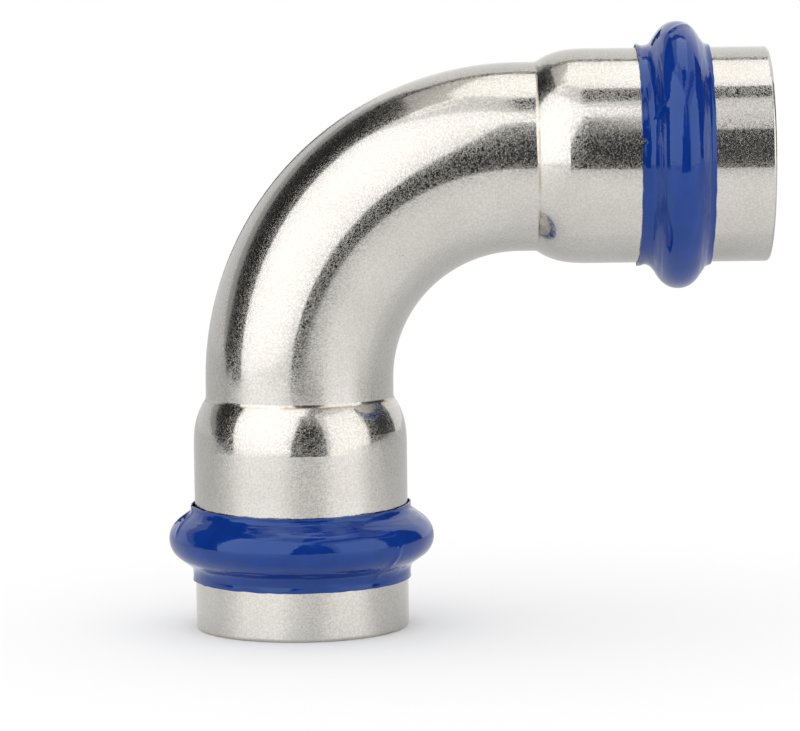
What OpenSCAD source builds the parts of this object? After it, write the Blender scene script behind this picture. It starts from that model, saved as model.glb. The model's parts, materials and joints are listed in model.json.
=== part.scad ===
// 90 degree press elbow for thin-walled stainless steel pipe.
// One tube is bent and given a press socket at each end. Each socket has a rubber ring
// inside its bead, and a film sleeve over the bead that comes off once the joint is pressed.
// Frame: the origin is the middle of the lower mouth, +Z runs up the lower socket, and the
// outlet points along +X.

/* [Tube] */
// Outside diameter of the tube that is formed, and of the pipe that each socket takes
pipe_od = 22; // [15:0.5:35]
// Wall thickness of the formed tube
wall = 1.4; // [1.2:0.1:1.8]
// Radius of the bend, measured to the middle of the tube
bend_radius = 25.8; // [20:0.2:60]
// Straight length of tube left between the bend and each socket
stub_length = 1.8; // [0.5:0.1:40]

/* [Socket] */
// Gap all round between the pipe and the socket's bore
pipe_clearance = 0.1; // [0.05:0.05:0.3]
// Depth of the straight bore, from the mouth to the start of the shoulder
bore_depth = 21.5; // [20:0.1:40]
// Length of the domed shoulder, from the straight bore to the crease
shoulder_length = 5.45; // [4.5:0.05:8]
// Length of the shoulder's gentle start, before the dome turns in
ease_length = 2; // [1:0.1:2.4]
// Radius of that gentle start
ease_radius = 16; // [14:1:30]
// Length of the small flare that the forming die leaves between the tube and the crease
crease_length = 0.35; // [0.2:0.05:1]
// Height of that flare above the tube
crease_rise = 0.07; // [0.04:0.01:0.2]
// Rounding of the inner and outer edges of the mouth
rim_round = 0.4; // [0.2:0.05:0.55]

/* [Bead] */
// Distance from the mouth to the middle of the bead
bead_setback = 10.6; // [8:0.1:15]
// Rounding of the bead's crest
bead_round = 2.35; // [2:0.05:2.8]
// Slope of the bead's flanks against the socket's axis, in degrees
bead_flank = 55; // [45:1:65]
// Hollow rounding at the foot of the bead
bead_foot_round = 0.8; // [0.4:0.1:1.4]

/* [Seal ring] */
// Thickness of the rubber ring
seal_thickness = 2.9; // [2.4:0.1:3.4]
// How far the ring stands out of its groove into the bore
seal_proud = 0.15; // [0.05:0.05:0.2]
// Gap between the ring and the top of its groove
seal_clearance = 0.05; // [0.02:0.01:0.15]

/* [Indicator sleeve] */
// Thickness of the film
film_thickness = 0.2; // [0.1:0.05:0.3]
// Gap between the film and the steel
film_clearance = 0.05; // [0.02:0.01:0.15]
// Hollow rounding of the film where it bridges the foot of the bead
film_foot_round = 1.2; // [0.8:0.1:1.8]
// Reach of the sleeve from the middle of the bead towards the mouth
film_reach_mouth = 4.7; // [4.4:0.1:6.5]
// Reach of the sleeve from the middle of the bead towards the bend
film_reach_bend = 4.4; // [4.2:0.1:6.5]
// Length of the flared lip at the sleeve's edge on the bend's side
lip_length = 0.6; // [0.2:0.1:0.8]
// How far that lip lifts off the socket
lip_lift = 0.3; // [0.1:0.05:0.6]

/* [Hidden] */
$fn = 144;

tube_r = pipe_od / 2;
bore_r = tube_r + pipe_clearance;
socket_r = bore_r + wall;
crease_r = tube_r + crease_rise;
crease_s = bore_depth + shoulder_length;
stub_s = crease_s + crease_length;
socket_length = stub_s + stub_length;
centre_to_end = socket_length + bend_radius;

// An arc that leaves a line tangentially and has strayed from it by `rise` after `run`
function arc_radius(run, rise) = (run * run + rise * rise) / (2 * rise);
flare_r = arc_radius(crease_length, crease_rise);

// The dome leaves the end of the gentle start in its direction, and meets the crease
ease_angle = asin(ease_length / ease_radius);
ease_end = [socket_r - ease_radius * (1 - cos(ease_angle)), bore_depth + ease_length];
dome_fall = ease_end[0] - crease_r;
dome_run = crease_s - ease_end[1];
dome_r = (dome_fall * dome_fall + dome_run * dome_run)
  / (2 * (dome_fall * cos(ease_angle) - dome_run * sin(ease_angle)));
dome_middle = ease_end - dome_r * [cos(ease_angle), sin(ease_angle)];

groove_round = seal_thickness / 2 + seal_clearance;
seal_middle_r = bore_r - seal_proud + seal_thickness / 2;
groove_crest_r = seal_middle_r + groove_round;
bead_crest_r = groove_crest_r + wall;
film_inner = film_clearance;
film_outer = film_clearance + film_thickness;

// Profiles are drawn as [radius, distance from the mouth] and turned about the socket's axis.

// Everything inside radius r between two distances from the mouth
module disc_profile(r, from, to) {
  translate([0, from]) square([r, to - from]);
}

// A bead standing on radius `base`: a round crest, straight flanks and hollow feet
module bead_profile(base, crest, crest_round, foot_round) {
  middle = crest - crest_round;
  top = [middle + crest_round * cos(bead_flank), crest_round * sin(bead_flank)];
  corner = top[1] + (top[0] - base) / tan(bead_flank);
  leg = foot_round * tan(bead_flank / 2);
  foot = [base + leg * sin(bead_flank), corner - leg * cos(bead_flank)];
  toe = corner + leg;
  translate([0, bead_setback]) difference() {
    union() {
      translate([middle, 0]) circle(r = crest_round);
      polygon([[0, -toe], [base, -toe], [foot[0], -foot[1]], [top[0], -top[1]],
        [top[0], top[1]], foot, [base, toe], [0, toe]]);
    }
    for (side = [-1, 1]) translate([base + foot_round, side * toe]) circle(r = foot_round);
  }
}

// The shoulder, set in from the outside: a gentle start and then the dome
module shoulder_profile(inset) {
  joint = bore_depth + (ease_radius - inset) * sin(ease_angle);
  intersection() {
    translate([socket_r - ease_radius, bore_depth]) circle(r = ease_radius - inset);
    disc_profile(socket_r - inset, bore_depth, joint);
  }
  intersection() {
    translate(dome_middle) circle(r = dome_r - inset);
    disc_profile(socket_r - inset, joint, crease_s);
  }
}

// What a mouth edge at radius r loses to its rounding: dir is 1 for the outer edge, -1 for the inner
module rim_corner(r, dir) {
  difference() {
    translate([min(r, r - dir * rim_round), 0]) square(rim_round);
    translate([r - dir * rim_round, rim_round]) circle(r = rim_round);
  }
}

// The outside of the socket: wall, bead, domed shoulder, die flare and stub of tube
module socket_outside() {
  difference() {
    disc_profile(socket_r, 0, bore_depth);
    rim_corner(socket_r, 1);
  }
  bead_profile(socket_r, bead_crest_r, bead_round, bead_foot_round);
  shoulder_profile(0);
  difference() {
    disc_profile(crease_r, crease_s, stub_s);
    translate([tube_r + flare_r, stub_s]) circle(r = flare_r);
  }
  disc_profile(tube_r, stub_s, socket_length);
}

// The hollow of the socket: bore, seal groove, the dome that stops the pipe, and the tube's bore
module socket_hollow() {
  disc_profile(bore_r, 0, bore_depth);
  rim_corner(bore_r, -1);
  bead_profile(bore_r, groove_crest_r, groove_round, bead_foot_round);
  shoulder_profile(wall);
  disc_profile(tube_r - wall, 0, socket_length);
}

// Puts a piece drawn for the lower socket on the outlet socket
module at_outlet() {
  translate([centre_to_end, 0, centre_to_end]) rotate([0, -90, 0]) children();
}

module press_socket() {
  rotate_extrude() difference() {
    socket_outside();
    socket_hollow();
  }
}

// The quarter turn of tube that joins the two sockets
module bend() {
  translate([bend_radius, 0, socket_length]) rotate([90, 0, 0]) rotate([0, 0, 90])
    rotate_extrude(angle = 90) translate([bend_radius, 0]) difference() {
      circle(r = tube_r);
      circle(r = tube_r - wall);
    }
}

module seal_ring() {
  color("#1d1d1f") translate([0, 0, bead_setback])
    rotate_extrude() translate([seal_middle_r, 0]) circle(d = seal_thickness);
}

// The outline of the film at a distance from the steel, between its two edges
module film_profile(grow, foot_round) {
  lip_start = bead_setback + film_reach_bend - lip_length;
  base = socket_r + grow;
  intersection() {
    union() {
      disc_profile(base, bead_setback - film_reach_mouth, lip_start);
      bead_profile(base, bead_crest_r + grow, bead_round + grow, foot_round);
    }
    disc_profile(bead_crest_r + 2 * film_outer, bead_setback - film_reach_mouth, lip_start);
  }
  polygon([[0, lip_start], [base, lip_start], [base + lip_lift, lip_start + lip_length],
    [0, lip_start + lip_length]]);
}

module indicator_sleeve() {
  color("#163a8c") rotate_extrude() difference() {
    film_profile(film_outer, film_foot_round);
    film_profile(film_inner, film_foot_round + film_thickness);
  }
}

module elbow_body() {
  color("#c9c7c1") union() {
    press_socket();
    bend();
    at_outlet() press_socket();
  }
}

module lower_seal_ring() {
  seal_ring();
}

module outlet_seal_ring() {
  at_outlet() seal_ring();
}

module lower_indicator_sleeve() {
  indicator_sleeve();
}

module outlet_indicator_sleeve() {
  at_outlet() indicator_sleeve();
}

elbow_body();
lower_seal_ring();
outlet_seal_ring();
lower_indicator_sleeve();
outlet_indicator_sleeve();
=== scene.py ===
"""Looks of the press elbow: formed steel, rubber seal rings and two shrunk film sleeves.

Sizes are in millimetres, angles in degrees. The frame has the lower mouth at its origin, +Z up
the lower socket and +X along the outlet. Round a sleeve, -90 degrees is the side that faces -Y.
"""

import json
import logging
import math
from dataclasses import dataclass
from enum import Enum

import bpy
from mathutils import Matrix, Vector, noise


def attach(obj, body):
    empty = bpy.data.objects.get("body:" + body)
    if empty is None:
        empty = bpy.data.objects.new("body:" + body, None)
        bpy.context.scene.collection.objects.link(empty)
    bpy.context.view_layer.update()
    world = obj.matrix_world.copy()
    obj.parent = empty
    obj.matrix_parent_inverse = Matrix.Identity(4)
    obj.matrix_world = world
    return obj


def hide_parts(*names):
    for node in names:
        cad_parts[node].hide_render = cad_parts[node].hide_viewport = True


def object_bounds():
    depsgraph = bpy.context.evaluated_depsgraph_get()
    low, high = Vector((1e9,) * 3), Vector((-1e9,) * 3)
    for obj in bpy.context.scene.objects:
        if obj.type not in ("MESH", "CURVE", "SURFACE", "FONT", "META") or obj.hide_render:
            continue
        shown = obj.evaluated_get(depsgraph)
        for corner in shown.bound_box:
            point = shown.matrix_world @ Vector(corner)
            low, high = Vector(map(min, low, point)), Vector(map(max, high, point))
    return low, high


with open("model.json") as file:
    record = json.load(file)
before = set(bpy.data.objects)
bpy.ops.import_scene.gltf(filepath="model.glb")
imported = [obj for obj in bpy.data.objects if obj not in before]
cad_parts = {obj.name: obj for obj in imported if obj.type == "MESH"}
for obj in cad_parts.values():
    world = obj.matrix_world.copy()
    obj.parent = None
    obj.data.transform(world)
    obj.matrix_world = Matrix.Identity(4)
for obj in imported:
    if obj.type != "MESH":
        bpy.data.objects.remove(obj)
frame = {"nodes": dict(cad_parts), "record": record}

CAD_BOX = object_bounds()
MM = 0.001
LOG = logging.getLogger("press_elbow")

Pair = tuple[float, float]
Colour = tuple[float, float, float, float]
Socket = bpy.types.NodeSocket

WHITE: Colour = (1.0, 1.0, 1.0, 1.0)
WARM_LIGHT = (1.0, 0.97, 0.92)
SEEN_RAYS = ("Is Camera Ray", "Is Glossy Ray", "Is Transmission Ray")


def deselect_all() -> None:
    """Leaves nothing selected, so that an operator acts only on what is made next."""
    bpy.ops.object.select_all(action="DESELECT")


def grey(level: float) -> Colour:
    """A colour without a hue, at that level."""
    return (level, level, level, 1.0)


def metres(lengths: tuple[float, ...]) -> tuple[float, ...]:
    """Takes lengths from millimetres to metres."""
    return tuple(length * MM for length in lengths)


def towards(azimuth: float, elevation: float) -> Vector:
    """The direction seen from the object: azimuth 0 is -Y and 90 is +X."""
    turn, rise = math.radians(azimuth), math.radians(elevation)
    return Vector((math.sin(turn) * math.cos(rise), -math.cos(turn) * math.cos(rise), math.sin(rise)))


def smooth_step(low: float, high: float, value: float) -> float:
    """A smooth rise from 0 at low to 1 at high, held at both ends."""
    share = min(max((value - low) / (high - low), 0.0), 1.0)
    return share * share * (3.0 - 2.0 * share)


class Recipe:
    """A material's node tree, with short calls that add nodes and join them."""

    def __init__(self, name: str) -> None:
        """Starts a material with nothing but its output.

        Args:
            name: the material's name.
        """
        self.material = bpy.data.materials.new(name)
        self.material.use_nodes = True
        self.tree = self.material.node_tree
        self.tree.nodes.clear()
        self.output = self.add("ShaderNodeOutputMaterial")
        self.place = self.add("ShaderNodeTexCoord").outputs["Object"]

    def add(self, kind: str, inputs: dict | None = None, **settings: object) -> bpy.types.Node:
        """Adds one node.

        Args:
            kind: the type of node.
            inputs: a value or an output socket for each input that isn't left alone.
            settings: the node's own properties.

        Returns:
            The new node.
        """
        node = self.tree.nodes.new(kind)
        for key, value in settings.items():
            setattr(node, key, value)
        for key, value in (inputs or {}).items():
            if isinstance(value, Socket):
                self.tree.links.new(value, node.inputs[key])
            else:
                node.inputs[key].default_value = value
        return node

    def axis(self, name: str) -> Socket:
        """The place along one axis, in metres."""
        return self.add("ShaderNodeSeparateXYZ", {"Vector": self.place}).outputs[name]

    def noise(self, size: float, detail: float = 2.0, warp: float = 0.0) -> Socket:
        """Noise with blotches of about that size, squeezed out of shape by warp."""
        inputs = {"Vector": self.place, "Scale": 1 / (size * MM), "Detail": detail, "Distortion": warp}
        return self.add("ShaderNodeTexNoise", inputs).outputs["Fac"]

    def remap(self, value: object, span: Pair, to: Pair = (0.0, 1.0)) -> Socket:
        """Takes a value from one span to another, and holds it at the ends."""
        inputs = {"Value": value, "From Min": span[0], "From Max": span[1], "To Min": to[0], "To Max": to[1]}
        return self.add("ShaderNodeMapRange", inputs).outputs["Result"]

    def math(self, operation: str, first: object, second: object = 0.0) -> Socket:
        """One step of arithmetic on two values."""
        return self.add("ShaderNodeMath", {0: first, 1: second}, operation=operation).outputs[0]

    def blend(self, share: object, first: object, second: object, mode: str = "MIX") -> Socket:
        """A mix of two colours, with that share of the second."""
        inputs = {"Fac": share, "Color1": first, "Color2": second}
        return self.add("ShaderNodeMixRGB", inputs, blend_type=mode).outputs["Color"]

    def ramp(self, value: Socket, stops: tuple[Pair, ...]) -> Socket:
        """A level that runs straight from one stop to the next.

        Args:
            value: the place among the stops, from 0 to 1.
            stops: the place and the level of each stop, from 0 up to 1.

        Returns:
            The level at that place.
        """
        ramp = self.add("ShaderNodeValToRGB", {"Fac": value})
        elements = ramp.color_ramp.elements
        for at, _ in stops[1:-1]:
            elements.new(at)
        for element, (at, level) in zip(elements, stops):
            element.position = at
            element.color = grey(level)
        return ramp.outputs["Color"]

    def bump(self, height: object, depth: float, under: Socket | None = None) -> Socket:
        """Raises the surface.

        Args:
            height: the pattern to raise, from 0 to 1.
            depth: the rise where the pattern is 1.
            under: another bump that this one lies on.

        Returns:
            The raised surface's normal.
        """
        inputs = {"Height": height, "Distance": depth * MM, "Strength": 1.0}
        if under is not None:
            inputs["Normal"] = under
        return self.add("ShaderNodeBump", inputs).outputs["Normal"]

    def glow(self, strength: object, colour: Colour = WHITE) -> Socket:
        """A surface that gives off light at that strength."""
        return self.add("ShaderNodeEmission", {"Color": colour, "Strength": strength}).outputs[0]

    def mix(self, share: Socket, first: Socket, second: Socket) -> Socket:
        """A mix of two surfaces, with that share of the second."""
        return self.add("ShaderNodeMixShader", {0: share, 1: first, 2: second}).outputs[0]

    def seen(self) -> Socket:
        """Tells what is seen from what only lights the object.

        Returns:
            1 for what is seen straight, in a reflection or through glass, and 0 for lighting.
        """
        path = self.add("ShaderNodeLightPath").outputs
        straight, shown, through = (path[ray] for ray in SEEN_RAYS)
        return self.math("MAXIMUM", self.math("MAXIMUM", straight, shown), through)

    def finish(self, surface: Socket) -> bpy.types.Material:
        """Ends the recipe in that surface and gives the material."""
        self.tree.links.new(surface, self.output.inputs["Surface"])
        return self.material

    def principled(self, inputs: dict) -> bpy.types.Material:
        """Ends the recipe in one principled shader and gives the material."""
        return self.finish(self.add("ShaderNodeBsdfPrincipled", inputs).outputs["BSDF"])


@dataclass(frozen=True)
class SteelFinish:
    """Pickled stainless steel: a fine worm-like grain, small pits and a darker brown line along the creases.
    """

    colour: Colour = (0.63, 0.61, 0.573, 1.0)
    dull: Colour = (0.57, 0.55, 0.513, 1.0)
    straw: Colour = (0.42, 0.34, 0.23, 1.0)
    pit: Colour = (0.20, 0.19, 0.18, 1.0)
    roughness: Pair = (0.06, 0.20)
    rough_span: Pair = (0.54, 0.62)
    cloud_size: float = 9.0
    cloud_span: Pair = (0.35, 0.7)
    grit_size: float = 0.24
    grit_span: Pair = (0.36, 0.64)
    grit: Pair = (0.92, 1.07)
    worm_size: float = 0.34
    worm_width: float = 0.05
    worm_height: float = 0.0029
    grain_size: float = 0.16
    grain_depth: float = 0.0016
    peel_size: float = 1.0
    peel_depth: float = 0.002
    pit_size: float = 0.5
    pit_span: Pair = (0.74, 0.80)
    lower_crease: float = 26.95
    outlet_crease: float = 27.95
    crease_reach: float = 0.22
    tint_size: float = 3.0
    tint_span: Pair = (0.40, 0.62)

    def crease_line(self, recipe: Recipe, axis: str, crease: float) -> Socket:
        """How strongly the steel is turned a darker brown along a crease.

        Args:
            recipe: the material that it goes into.
            axis: the axis that the crease runs round.
            crease: the crease's place on that axis.

        Returns:
            1 on the crease and 0 away from it, broken up into patches.
        """
        off = recipe.math("ABSOLUTE", recipe.math("SUBTRACT", recipe.axis(axis), crease * MM))
        near = recipe.remap(off, (0.0, self.crease_reach * MM), (1.0, 0.0))
        patchy = recipe.remap(recipe.noise(self.tint_size), self.tint_span)
        return recipe.math("MULTIPLY", near, patchy)

    def material(self) -> bpy.types.Material:
        """Makes the finish.

        Returns:
            The finished node material.
        """
        recipe = Recipe("pickled_steel")
        grain = recipe.noise(self.grain_size, 2.0, 1.5)
        swirl = recipe.math("SUBTRACT", recipe.noise(self.worm_size, 1.0, 1.5), 0.5)
        worm = recipe.remap(recipe.math("ABSOLUTE", swirl), (0.0, self.worm_width), (1.0, 0.0))
        peel = recipe.noise(self.peel_size, 3.0, 0.6)
        cloud = recipe.remap(recipe.noise(self.cloud_size, 4.0), self.cloud_span)
        colour = recipe.blend(cloud, self.colour, self.dull)
        grit = recipe.remap(recipe.noise(self.grit_size), self.grit_span, self.grit)
        colour = recipe.blend(1.0, colour, grit, "MULTIPLY")
        lower = self.crease_line(recipe, "Z", self.lower_crease)
        outlet = self.crease_line(recipe, "X", self.outlet_crease)
        # A darker brown line, in patches, along each crease.
        colour = recipe.blend(recipe.math("MAXIMUM", lower, outlet), colour, self.straw)
        pitted = recipe.remap(recipe.noise(self.pit_size, 3.0, 1.0), self.pit_span)
        colour = recipe.blend(pitted, colour, self.pit)
        normal = recipe.bump(grain, self.grain_depth, recipe.bump(peel, self.peel_depth))
        normal = recipe.bump(worm, self.worm_height, normal)
        return recipe.principled({
            "Base Color": colour,
            "Metallic": 1.0,
            "Roughness": recipe.remap(grain, self.rough_span, self.roughness),
            "Normal": normal,
        })


@dataclass(frozen=True)
class FilmFinish:
    """Glossy cobalt film, a little lighter where it was stretched."""

    deep: Colour = (0.002, 0.025, 0.19, 1.0)
    stretched: Colour = (0.003, 0.031, 0.225, 1.0)
    sheen: Colour = (0.48, 0.70, 1.0, 1.0)
    ior: float = 1.66
    roughness: Pair = (0.04, 0.07)
    mottle_size: float = 3.0
    crinkle_size: float = 0.8
    crinkle_depth: float = 0.012

    def material(self) -> bpy.types.Material:
        """Makes the finish.

        Returns:
            The finished node material.
        """
        recipe = Recipe("cobalt_film")
        mottle = recipe.noise(self.mottle_size, 3.0, 0.5)
        crinkle = recipe.noise(self.crinkle_size, 2.0, 1.0)
        return recipe.principled({
            "Base Color": recipe.blend(recipe.remap(mottle, (0.35, 0.68)), self.deep, self.stretched),
            "Roughness": recipe.remap(mottle, (0.3, 0.7), self.roughness),
            "IOR": self.ior,
            "Specular Tint": self.sheen,
            "Normal": recipe.bump(crinkle, self.crinkle_depth),
        })


@dataclass(frozen=True)
class RubberFinish:
    """Black moulded rubber with a faint bloom."""

    colour: Colour = (0.012, 0.012, 0.013, 1.0)
    bloom: Colour = (0.035, 0.035, 0.036, 1.0)
    roughness: Pair = (0.38, 0.55)
    bloom_size: float = 1.2
    pore_size: float = 0.25
    pore_depth: float = 0.01

    def material(self) -> bpy.types.Material:
        """Makes the finish.

        Returns:
            The finished node material.
        """
        recipe = Recipe("seal_rubber")
        dust = recipe.noise(self.bloom_size, 4.0, 0.4)
        return recipe.principled({
            "Base Color": recipe.blend(recipe.remap(dust, (0.45, 0.75)), self.colour, self.bloom),
            "Roughness": recipe.remap(dust, (0.3, 0.7), self.roughness),
            "Normal": recipe.bump(recipe.noise(self.pore_size), self.pore_depth),
        })


@dataclass(frozen=True)
class TableFinish:
    """White table paper: it takes the object's shadow near by, and is plain white further off.

    Where the steel shows it at a low angle it has a painted sheen: a glow, brighter towards each
    lamp, that stands for the lamps' light on the paper. The painted sheen's levels are given by the
    direction from a point in the lower mouth, where 0 is -Y and 90 is +X.
    """

    colour: Colour = grey(0.88)
    tooth_size: float = 1.5
    tooth_depth: float = 0.01
    fill: float = 0.24
    rim: Pair = (12.3, 15.0)
    shadow_reach: Pair = (80.0, 180.0)
    sheen: float = 0.95
    sheen_ior: float = 1.33
    sheen_middle: Pair = (0.0, -6.8)
    sheen_levels: tuple[Pair, ...] = (
        (-90, 0.62), (-82, 0.80), (-62, 1.62), (-24, 1.66), (-4, 0.92), (18, 0.86),
        (34, 1.55), (64, 1.66), (82, 0.60), (105, 0.44), (180, 0.60), (270, 0.62),
    )

    def material(self) -> bpy.types.Material:
        """Makes the finish.

        Returns:
            The finished node material.
        """
        recipe = Recipe("table_paper")
        tooth = recipe.bump(recipe.noise(self.tooth_size, 3.0), self.tooth_depth)
        paper = recipe.add("ShaderNodeBsdfDiffuse", {"Color": self.colour, "Normal": tooth}).outputs[0]
        far = recipe.remap(recipe.math("ABSOLUTE", recipe.axis("Y")), metres(self.shadow_reach))
        away = recipe.add("ShaderNodeVectorMath", {0: recipe.place}, operation="LENGTH").outputs["Value"]
        fill = recipe.remap(away, metres(self.rim), (0.0, self.fill))
        white = recipe.math("MULTIPLY", recipe.math("MAXIMUM", far, fill), recipe.seen())
        table = recipe.mix(white, paper, recipe.glow(1.0))
        # Painted sheen: at a low angle, glossy rays see a glow whose strength by direction stands for the
        # lamps' light on the paper.
        low_angle = recipe.add("ShaderNodeFresnel", {"IOR": self.sheen_ior}).outputs[0]
        shown = recipe.add("ShaderNodeLightPath").outputs["Is Glossy Ray"]
        share = recipe.math("MULTIPLY", recipe.math("MULTIPLY", low_angle, self.sheen), shown)
        return recipe.finish(recipe.mix(share, table, recipe.glow(self.sheen_level(recipe))))

    def sheen_level(self, recipe: Recipe) -> Socket:
        """How bright the painted sheen is, by the direction from its middle: a glow that stands for the
        lamps' light.

        Args:
            recipe: the material that it goes into.

        Returns:
            The strength of the painted sheen's glow.
        """
        ends = {0: recipe.place, 1: metres((*self.sheen_middle, 0.0))}
        place = recipe.add("ShaderNodeVectorMath", ends, operation="SUBTRACT").outputs[0]
        turn = recipe.add("ShaderNodeTexGradient", {"Vector": place}, gradient_type="RADIAL").outputs["Fac"]
        stops = tuple(((azimuth + 90) / 360, level) for azimuth, level in self.sheen_levels)
        return recipe.ramp(turn, stops)


@dataclass(frozen=True)
class ShadeFinish:
    """Painted shade: a glow that stands for the dimmer light the table gives back further behind the object,
    where the object shades it, by its place along Y.
    """

    span: Pair = (-8.0, 20.0)
    level: Pair = (0.84, 0.66)

    def material(self) -> bpy.types.Material:
        """Makes the finish.

        Returns:
            The finished node material.
        """
        recipe = Recipe("table_shade")
        # Painted shade: the card's glow dims towards the back, standing for the table's shadow behind the
        # object.
        strength = recipe.remap(recipe.axis("Y"), metres(self.span), self.level)
        return recipe.finish(recipe.glow(strength))


@dataclass(frozen=True)
class CardFinish:
    """A studio card that shows only in reflections, at one even brightness."""

    name: str
    colour: Colour

    def material(self) -> bpy.types.Material:
        """Makes the finish and gives its node material."""
        recipe = Recipe(self.name)
        return recipe.finish(recipe.glow(1.0, self.colour))


class SocketEnd(Enum):
    """The two sockets, by the word that starts the names of their pieces."""

    LOWER = "lower"
    OUTLET = "outlet"

    @property
    def sleeve(self) -> str:
        """The name of the film sleeve's node."""
        return f"{self.value}_indicator_sleeve"

    @property
    def seal(self) -> str:
        """The name of the seal ring's node."""
        return f"{self.value}_seal_ring"

    def placement(self) -> Matrix:
        """Says where the socket is.

        Returns:
            The matrix that takes a piece drawn on +Z from the origin to this socket.
        """
        if self is SocketEnd.LOWER:
            return Matrix.Identity(4)
        mouth = next(m for m in frame["record"]["mounts"] if m["name"] == "outlet_socket")
        return Matrix.Translation(mouth["pos_m"]) @ Matrix.Rotation(math.radians(-90), 4, "Y")


@dataclass
class ElbowBody:
    """The formed steel tube and the rubber ring in each of its sockets."""

    steel: SteelFinish = SteelFinish()
    rubber: RubberFinish = RubberFinish()

    def dress(self) -> None:
        """Gives the steel and the rubber their finishes."""
        self.paint("elbow_body", self.steel.material())
        rubber = self.rubber.material()
        for end in SocketEnd:
            self.paint(end.seal, rubber)

    def paint(self, node: str, material: bpy.types.Material) -> None:
        """Puts one material on a whole node.

        Args:
            node: the node's name.
            material: the material that it gets.
        """
        mesh = frame["nodes"][node].data
        mesh.materials.clear()
        mesh.materials.append(material)
        LOG.info("%s: %s", node, material.name)


@dataclass(frozen=True)
class Fold:
    """A crease in the film: where it starts and ends, round the axis and along the outline."""

    start: Pair
    end: Pair
    width: float = 0.35
    height: float = 0.12

    def lift(self, angle: float, along: float, radius: float) -> float:
        """How far the fold raises the film at a point.

        Args:
            angle: the place round the axis, in degrees.
            along: the place along the film's outline, from its crest towards the bend.
            radius: the film's radius there.

        Returns:
            The rise, in millimetres.
        """
        def flat(at: Pair) -> Vector:
            """A place on the film, as if it were laid out flat round the fold's start."""
            turn = (at[0] - self.start[0] + 180.0) % 360.0 - 180.0
            return Vector((math.radians(turn) * radius, at[1]))

        first, last, point = flat(self.start), flat(self.end), flat((angle, along))
        run = last - first
        share = (point - first).dot(run) / run.length_squared
        if not -0.3 < share < 1.3:
            return 0.0
        off = (point - first - run * share).length
        ends = smooth_step(-0.1, 0.15, share) * smooth_step(1.1, 0.85, share)
        return self.height * ends * math.exp(-(off / self.width) ** 2)


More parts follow.
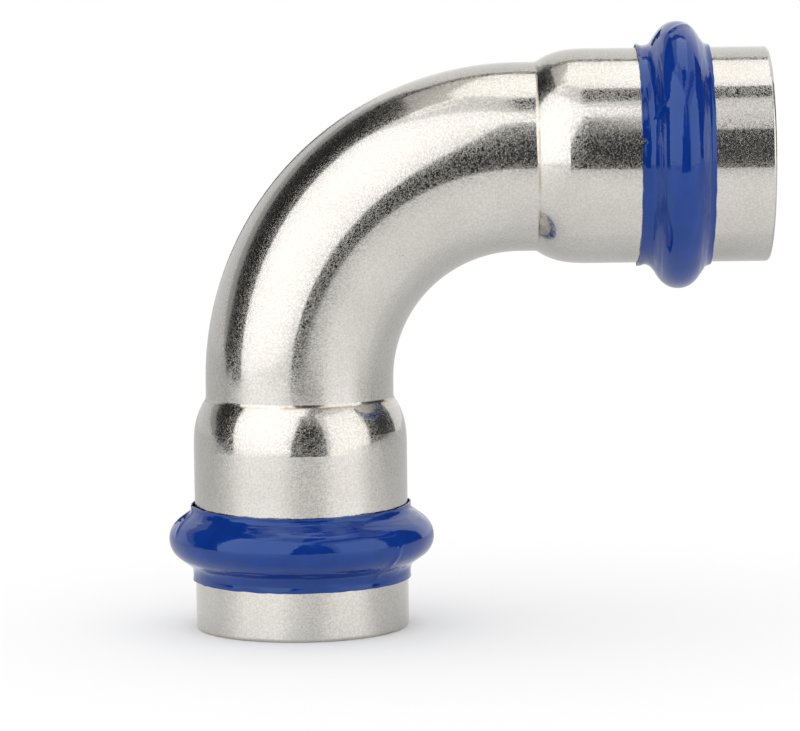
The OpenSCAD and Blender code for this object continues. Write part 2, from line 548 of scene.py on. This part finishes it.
@dataclass
class IndicatorSleeve:
    """A film sleeve shrunk over a socket's bead, with the creases that the shrinking left.

    Along the film, places are counted from the middle of the bead, or of its crest, towards the
    bend. Round it they are given by round_axis, the direction from the socket's axis. What ends in
    turns says how often a pattern changes round the axis.
    """

    end: SocketEnd
    folds: tuple[Fold, ...]
    seed: float
    finish: bpy.types.Material
    setback: float = 10.6
    reach_mouth: float = 4.9
    reach_bend: float = 4.4
    wall_radius: float = 12.75
    crest_radius: float = 15.55
    crest_round: float = 2.6
    flank: float = 55.0
    foot_round: float = 1.2
    thickness: float = 0.15
    columns: int = 448
    rows: int = 64
    outline_steps: int = 2000
    smooth_angle: float = 50.0
    streak_height: float = 0.04
    streak_span: Pair = (1.6, 2.8)
    streak_pitch: float = 0.62
    streak_turns: float = 2.6
    streak_wobble: float = 0.5
    wobble_turns: float = 2.0
    wave_height: float = 0.05
    wave_length: float = 3.0
    wave_turns: float = 4.0
    lip_length: float = 0.7
    lip_lift: float = 0.22
    lip_even: float = 0.25
    lip_sides: float = 0.7
    lip_uneven: float = 1.2
    lip_turns: float = 3.0
    lip_least: float = 0.1
    mouth_curl: float = 0.35
    mouth_bow: float = 0.0
    bend_bow: float = 0.0
    edge_wander: float = 0.07
    edge_start: float = 2.4
    edge_turns: Pair = (9.0, 22.0)
    edge_fine: float = 0.25
    nick_angle: float | None = None
    nick_depth: float = 0.45
    nick_width: float = 0.4
    nick_length: float = 1.0

    def radius_at(self, off: float) -> float:
        """The smooth film's radius: crest, flank, hollow foot and wall.

        Args:
            off: the distance from the middle of the bead.

        Returns:
            The radius there.
        """
        slope = math.radians(self.flank)
        middle = self.crest_radius - self.crest_round
        top = self.crest_round * math.sin(slope)
        away = abs(off)
        if away <= top:
            return middle + math.sqrt(self.crest_round ** 2 - away ** 2)
        top_radius = middle + self.crest_round * math.cos(slope)
        corner = top + (top_radius - self.wall_radius) / math.tan(slope)
        leg = self.foot_round * math.tan(slope / 2)
        if away <= corner - leg * math.cos(slope):
            return top_radius - (away - top) * math.tan(slope)
        if away < corner + leg:
            hollow = self.foot_round ** 2 - (corner + leg - away) ** 2
            return self.wall_radius + self.foot_round - math.sqrt(hollow)
        return self.wall_radius

    def outline(self) -> list[Pair]:
        """Places from the bend's edge to the mouth's, evenly spaced along the film.

        Returns:
            For each row, the distance from the middle of the bead and the one from the crest
            along the film.
        """
        span = self.reach_bend + self.reach_mouth
        offs = [self.reach_bend - span * i / self.outline_steps for i in range(self.outline_steps + 1)]
        run = [0.0]
        for a, b in zip(offs, offs[1:]):
            run.append(run[-1] + math.hypot(b - a, self.radius_at(b) - self.radius_at(a)))
        crest_run = run[min(range(len(offs)), key=lambda i: abs(offs[i]))]
        rows, i = [], 0
        for row in range(self.rows + 1):
            goal = run[-1] * row / self.rows
            while i < self.outline_steps and run[i] < goal:
                i += 1
            rows.append((offs[i], crest_run - run[i]))
        return rows

    def tube(self) -> bpy.types.Object:
        """Draws a ring at the bend's edge out to the mouth's, row by row.

        Returns:
            The smooth sleeve, standing on +Z.
        """
        deselect_all()
        rows = self.outline()
        first = self.radius_at(rows[0][0])
        bpy.ops.mesh.primitive_circle_add(
            vertices=self.columns, radius=first * MM, location=(0, 0, (self.setback + rows[0][0]) * MM))
        sleeve = bpy.context.object
        sleeve.name = f"{self.end.value}_film"
        bpy.ops.object.transform_apply(location=True)
        bpy.ops.object.mode_set(mode="EDIT")
        bpy.ops.mesh.select_all(action="SELECT")
        for (above, _), (below, _) in zip(rows, rows[1:]):
            grow = self.radius_at(below) / self.radius_at(above)
            drop = (0, 0, (below - above) * MM)
            bpy.ops.mesh.extrude_region_move(TRANSFORM_OT_translate={"value": drop})
            bpy.ops.transform.resize(value=(grow, grow, 1), center_override=(0, 0, 0))
        bpy.ops.mesh.select_all(action="SELECT")
        bpy.ops.mesh.normals_make_consistent(inside=False)
        bpy.ops.object.mode_set(mode="OBJECT")
        return sleeve

    def shrink(self, sleeve: bpy.types.Object) -> None:
        """Presses the sleeve into shape: streaks on the flanks, folds, waves and uneven edges.

        Args:
            sleeve: the smooth sleeve.
        """
        rows = self.outline()
        step = 0.02
        for vertex in sleeve.data.vertices:
            off, along = rows[vertex.index // self.columns]
            round_axis = Vector((vertex.co.x, vertex.co.y, 0)).normalized()
            angle = math.degrees(math.atan2(round_axis.y, round_axis.x))
            radius = self.radius_at(off)
            lift = self.streaks(round_axis, along) + self.waves(round_axis, along)
            lift += sum(fold.lift(angle, along, radius) for fold in self.folds)
            lift += self.lip(round_axis, off)
            slope = (self.radius_at(off + step) - self.radius_at(off - step)) / (2 * step)
            out = (round_axis - Vector((0, 0, slope))).normalized()
            vertex.co += out * (lift * MM) + Vector((0, 0, self.edge_shift(round_axis, off) * MM))

    def streaks(self, round_axis: Vector, along: float) -> float:
        """Fine ridges that run round the flanks and fade out at the crest.

        Args:
            round_axis: the place round the axis.
            along: the place along the film, from its crest.

        Returns:
            The rise there.
        """
        flank = smooth_step(*self.streak_span, abs(along))
        wobble = noise.noise(round_axis * self.wobble_turns + Vector((self.seed, 0, 0))) * self.streak_wobble
        at = round_axis * self.streak_turns + Vector((0, self.seed, (along + wobble) / self.streak_pitch))
        return self.streak_height * flank * (1.0 - 2.0 * abs(noise.noise(at)))

    def waves(self, round_axis: Vector, along: float) -> float:
        """Broad unevenness over the whole sleeve."""
        at = round_axis * self.wave_turns + Vector((self.seed, self.seed, along / self.wave_length))
        return self.wave_height * noise.noise(at)

    def lip(self, round_axis: Vector, off: float) -> float:
        """The flare at the bend's edge and a slight curl at the mouth's, stronger in places.

        Args:
            round_axis: the place round the axis.
            off: the distance from the middle of the bead.

        Returns:
            The rise there.
        """
        uneven = self.lip_uneven * noise.noise(round_axis * self.lip_turns + Vector((0, 0, self.seed)))
        share = self.lip_even + self.lip_sides * abs(round_axis.x) ** 6 + uneven
        bend = smooth_step(self.reach_bend - self.lip_length, self.reach_bend, off)
        mouth = smooth_step(self.reach_mouth - self.lip_length, self.reach_mouth, -off)
        return max(share, self.lip_least) * self.lip_lift * (bend + self.mouth_curl * mouth)

    def edge_shift(self, round_axis: Vector, off: float) -> float:
        """How far the uneven edges draw back from a straight cut.

        Args:
            round_axis: the place round the axis.
            off: the distance from the middle of the bead.

        Returns:
            The shift towards the bend.
        """
        coarse, fine = self.edge_turns
        ragged = noise.noise(round_axis * coarse + Vector((0, self.seed, 0)))
        ragged += self.edge_fine * noise.noise(round_axis * fine + Vector((self.seed, 0, 0)))
        near = smooth_step(self.edge_start, self.reach_mouth if off < 0 else self.reach_bend, abs(off))
        bow = (self.mouth_bow if off < 0 else self.bend_bow) * max(-round_axis.y, 0.0) ** 2
        return near * (self.edge_wander * ragged + bow) - self.nick(round_axis, off)

    def nick(self, round_axis: Vector, off: float) -> float:
        """The tear in the bend's edge.

        Args:
            round_axis: the place round the axis.
            off: the distance from the middle of the bead.

        Returns:
            How deep the tear is there.
        """
        if self.nick_angle is None or off < 0:
            return 0.0
        turn = math.radians(self.nick_angle)
        away = (round_axis - Vector((math.cos(turn), math.sin(turn), 0))).length * self.wall_radius
        near = smooth_step(self.reach_bend - self.nick_length, self.reach_bend, off)
        return self.nick_depth * near * max(1.0 - away / self.nick_width, 0.0)

    def build(self) -> bpy.types.Object:
        """Makes the sleeve, puts it on its socket and dresses it.

        Returns:
            The finished piece, which stands for the plain sleeve of the frame.
        """
        sleeve = self.tube()
        self.shrink(sleeve)
        wall = sleeve.modifiers.new("wall", "SOLIDIFY")
        wall.thickness = self.thickness * MM
        wall.offset = -1.0
        bpy.ops.object.modifier_apply(modifier=wall.name)
        sleeve.matrix_world = self.end.placement()
        bpy.ops.object.transform_apply(location=True, rotation=True, scale=True)
        bpy.ops.object.shade_smooth_by_angle(angle=math.radians(self.smooth_angle))
        sleeve.data.materials.clear()
        sleeve.data.materials.append(self.finish)
        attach(sleeve, "root")
        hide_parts(self.end.sleeve)
        LOG.info("%s: %d faces", sleeve.name, len(sleeve.data.polygons))
        return sleeve


@dataclass(frozen=True)
class Softbox:
    """A lamp with a flat white front that shows in what is glossy, while the room lights the rest.

    Its middle is placed from the object, in metres, and its tilt is how far the front leans over.
    """

    name: str
    azimuth: float
    reach: float
    rise: float
    tilt: float
    width: float
    height: float
    radiance: float
    colour: tuple[float, float, float] = (1.0, 1.0, 1.0)

    def build(self, aim: Vector) -> bpy.types.Object:
        """Makes the lamp and turns its front to the object's side.

        Args:
            aim: the middle of the object.

        Returns:
            The lamp.
        """
        lamp = bpy.data.lights.new(self.name, "AREA")
        lamp.shape = "RECTANGLE"
        lamp.size = self.width
        lamp.size_y = self.height
        lamp.energy = self.radiance * math.pi * self.width * self.height
        lamp.color = self.colour
        box = bpy.data.objects.new(self.name, lamp)
        bpy.context.scene.collection.objects.link(box)
        box.location = aim + towards(self.azimuth, 0) * self.reach + Vector((0, 0, self.rise))
        box.rotation_euler = (-towards(self.azimuth, self.tilt)).to_track_quat("-Z", "Y").to_euler()
        box.visible_camera = False
        box.visible_diffuse = False
        return box


@dataclass(frozen=True)
class Card:
    """A flat card, given by the directions of its corners seen from the object.

    Its distance from the object is in metres.
    """

    name: str
    colour: Colour
    corners: tuple[Pair, ...]
    distance: float = 1.4

    def build(self, aim: Vector) -> bpy.types.Object:
        """Makes the card, seen in reflections alone.

        Args:
            aim: the middle of the object.

        Returns:
            The card.
        """
        deselect_all()
        bpy.ops.mesh.primitive_plane_add(size=1.0)
        card = bpy.context.object
        card.name = self.name
        outline = [card.data.vertices[i] for i in card.data.polygons[0].vertices]
        for vertex, (azimuth, elevation) in zip(outline, self.corners):
            vertex.co = aim + towards(azimuth, elevation) * self.distance
        card.data.materials.append(CardFinish(self.name, self.colour).material())
        seen_in_reflections_alone(card)
        return card


def seen_in_reflections_alone(card: bpy.types.Object) -> None:
    """Makes a card of the studio that glossy surfaces show and nothing else does.

    Args:
        card: the card.
    """
    card.visible_camera = False
    card.visible_diffuse = False
    card.visible_shadow = False
    card.visible_transmission = False


def patch(left: float, right: float, bottom: float, top: float) -> tuple[Pair, ...]:
    """The corners of a card between two azimuths and two elevations."""
    return ((left, bottom), (right, bottom), (right, top), (left, top))


SOFTBOXES = (
    Softbox("left_softbox", -41, 0.527, 0.487, 8.4, 1.05, 1.06, 0.74),
    Softbox("right_softbox", 57, 0.90, 0.395, 4, 0.86, 0.95, 0.60, WARM_LIGHT),
    Softbox("top_softbox", 180, 0.25, 1.0, 90, 0.82, 0.86, 0.66, WARM_LIGHT),
)
CARDS = (
    Card("camera_side", grey(0.04), ((-17.5, -25), (6, -25), (6, 26), (-5.4, 26)), 0.45),
    Card("camera_top", grey(0.10), ((-5.4, 26), (7, 26), (7.5, 41), (-2.4, 41)), 0.45),
    Card("camera_crown", grey(0.50), ((-2.4, 41), (7.5, 41), (7.5, 46), (-1, 46)), 0.45),
    Card("front_gap", grey(0.05), ((4, -25), (32, -25), (24, 30), (4, 30))),
    Card("front_peak", grey(0.15), ((10, 30), (24, 30), (18, 50), (12, 50))),
    Card("left_slant", grey(0.03), ((-74.5, -6), (-90, 56), (-100, 58), (-100, -6)), 0.42),
    Card("right_wall", grey(0.05), patch(80, 128, -7, 40)),
    Card("right_ledge", (0.30, 0.26, 0.20, 1.0), patch(13, 96, 44, 53)),
    Card("left_wall", grey(0.03), ((-84, -6), (-125, -6), (-125, 74), (-92, 78)), 2.0),
    Card("far_wall", grey(0.03), ((-125, -6), (-172, -6), (-172, 58), (-125, 74)), 2.0),
    Card("left_back", (0.78, 0.78, 0.79, 1.0), ((-105, -5), (-165, -5), (-165, 34), (-105, -1)), 1.2),
    Card("left_dim", grey(0.40), ((-105, -1), (-165, 34), (-165, 44), (-105, 9)), 1.2),
    Card("top_gap", grey(0.03), ((1, 60), (40, 67), (60, 76), (-1, 77)), 0.8),
    Card("top_dip", (1.00, 1.00, 0.99, 1.0), ((-75, 72), (1, 72), (0, 80), (-80, 81)), 0.8),
    Card("back_wall", (0.90, 0.90, 0.89, 1.0), patch(158, 202, 14, 49), 1.2),
    Card("back_gap", (0.06, 0.05, 0.04, 1.0), patch(152, 208, 48, 54), 1.2),
)


@dataclass
class Studio:
    """A white table, three softboxes, and cards as dark or as grey as the room is between them."""

    aim: Vector
    table: TableFinish = TableFinish()
    table_front: float = 280.0
    table_back: float = 2500.0
    table_side: float = 2000.0
    shade: ShadeFinish = ShadeFinish()
    shade_reach: float = 1500.0
    shade_height: float = 8.0
    ambient: float = 1.36

    def build(self) -> None:
        """Sets up the table, the lamps, the cards and the white surround."""
        table = self.sheet("table", self.table_side, (-self.table_front, self.table_back), 0)
        table.data.materials.append(self.table.material())
        self.shade_card()
        for item in (*SOFTBOXES, *CARDS):
            item.build(self.aim)
        self.surround()

    def sheet(self, name: str, side: float, depth: Pair, height: float) -> bpy.types.Object:
        """Lays a level sheet.

        Args:
            name: the sheet's name.
            side: how far it reaches to each side.
            depth: the places of its front and back edges along Y.
            height: its height over the table.

        Returns:
            The sheet, still without a finish.
        """
        deselect_all()
        bpy.ops.mesh.primitive_plane_add(size=1.0)
        sheet = bpy.context.object
        sheet.name = name
        front, back = depth
        for vertex in sheet.data.vertices:
            edge = back if vertex.co.y > 0 else front
            vertex.co = Vector((math.copysign(side, vertex.co.x), edge, height)) * MM
        return sheet

    def shade_card(self) -> None:
        """Hangs a card low behind the object, which shows in reflections alone: painted shade that stands
        for the table's shadow there.
        """
        depth = (self.shade.span[0], self.shade_reach)
        card = self.sheet("table_shade", self.shade_reach, depth, self.shade_height)
        card.data.materials.append(self.shade.material())
        seen_in_reflections_alone(card)

    def surround(self) -> None:
        """A white room for what is seen, and a dim even light for what is lit."""
        world = bpy.data.worlds.new("white_surround")
        world.use_nodes = True
        bpy.context.scene.world = world
        nodes, links = world.node_tree.nodes, world.node_tree.links
        nodes.clear()
        path = nodes.new("ShaderNodeLightPath").outputs
        seen = None
        for ray in SEEN_RAYS:
            step = nodes.new("ShaderNodeMath")
            step.operation = "MAXIMUM"
            links.new(path[ray], step.inputs[0])
            if seen is not None:
                links.new(seen, step.inputs[1])
            seen = step.outputs[0]
        mix = nodes.new("ShaderNodeMixShader")
        links.new(seen, mix.inputs[0])
        for slot, strength in ((1, self.ambient), (2, 1.0)):
            light = nodes.new("ShaderNodeBackground")
            light.inputs["Color"].default_value = WHITE
            light.inputs["Strength"].default_value = strength
            links.new(light.outputs[0], mix.inputs[slot])
        output = nodes.new("ShaderNodeOutputWorld")
        links.new(mix.outputs[0], output.inputs["Surface"])


@dataclass
class ViewingCamera:
    """The camera: its place, its turn in radians and its focal length in pixels of the frame."""

    place: tuple[float, float, float] = (8.92, -489.05, 82.53)
    pitch: float = -0.10579
    yaw: float = 0.00588
    roll: float = -0.012
    focal: float = 4200.0
    frame_width: float = 800.0
    sensor: float = 36.0
    nearest: float = 10.0
    furthest: float = 20000.0

    def build(self) -> None:
        """Makes the camera and hands it to the scene."""
        data = bpy.data.cameras.new("viewing_camera")
        data.sensor_fit = "HORIZONTAL"
        data.sensor_width = self.sensor
        data.lens = self.focal / self.frame_width * self.sensor
        data.clip_start = self.nearest * MM
        data.clip_end = self.furthest * MM
        camera = bpy.data.objects.new("viewing_camera", data)
        bpy.context.scene.collection.objects.link(camera)
        turn = Matrix.Rotation(-self.yaw, 4, "Z") @ Matrix.Rotation(math.pi / 2 + self.pitch, 4, "X")
        turn = turn @ Matrix.Rotation(self.roll, 4, "Z")
        camera.matrix_world = Matrix.Translation(Vector(self.place) * MM) @ turn
        bpy.context.scene.camera = camera


LOWER_FOLDS = (
    Fold((-42, 0.4), (-47, -5.0)),
    Fold((-171, 5.4), (-160, 0.8)),
)
OUTLET_FOLDS = (
    Fold((-70, 4.6), (-62, 1.8), 0.25, 0.10),
    Fold((-20, 1.2), (-8, -1.5)),
)


def main() -> None:
    """Builds the camera, the pieces and the studio in order."""
    logging.basicConfig(level=logging.INFO, format="%(name)s: %(message)s")
    bpy.context.scene.view_settings.view_transform = "Standard"
    ViewingCamera().build()
    ElbowBody().dress()
    film = FilmFinish().material()
    IndicatorSleeve(SocketEnd.LOWER, LOWER_FOLDS, 3.7, film, reach_mouth=4.8, reach_bend=4.0,
                    mouth_bow=-0.05, bend_bow=-0.2).build()
    IndicatorSleeve(SocketEnd.OUTLET, OUTLET_FOLDS, 11.2, film, reach_mouth=3.7, reach_bend=4.7,
                    nick_angle=-80.2).build()
    low, high = CAD_BOX
    Studio(aim=(low + high) / 2).build()


if __name__ == "__main__":
    main()
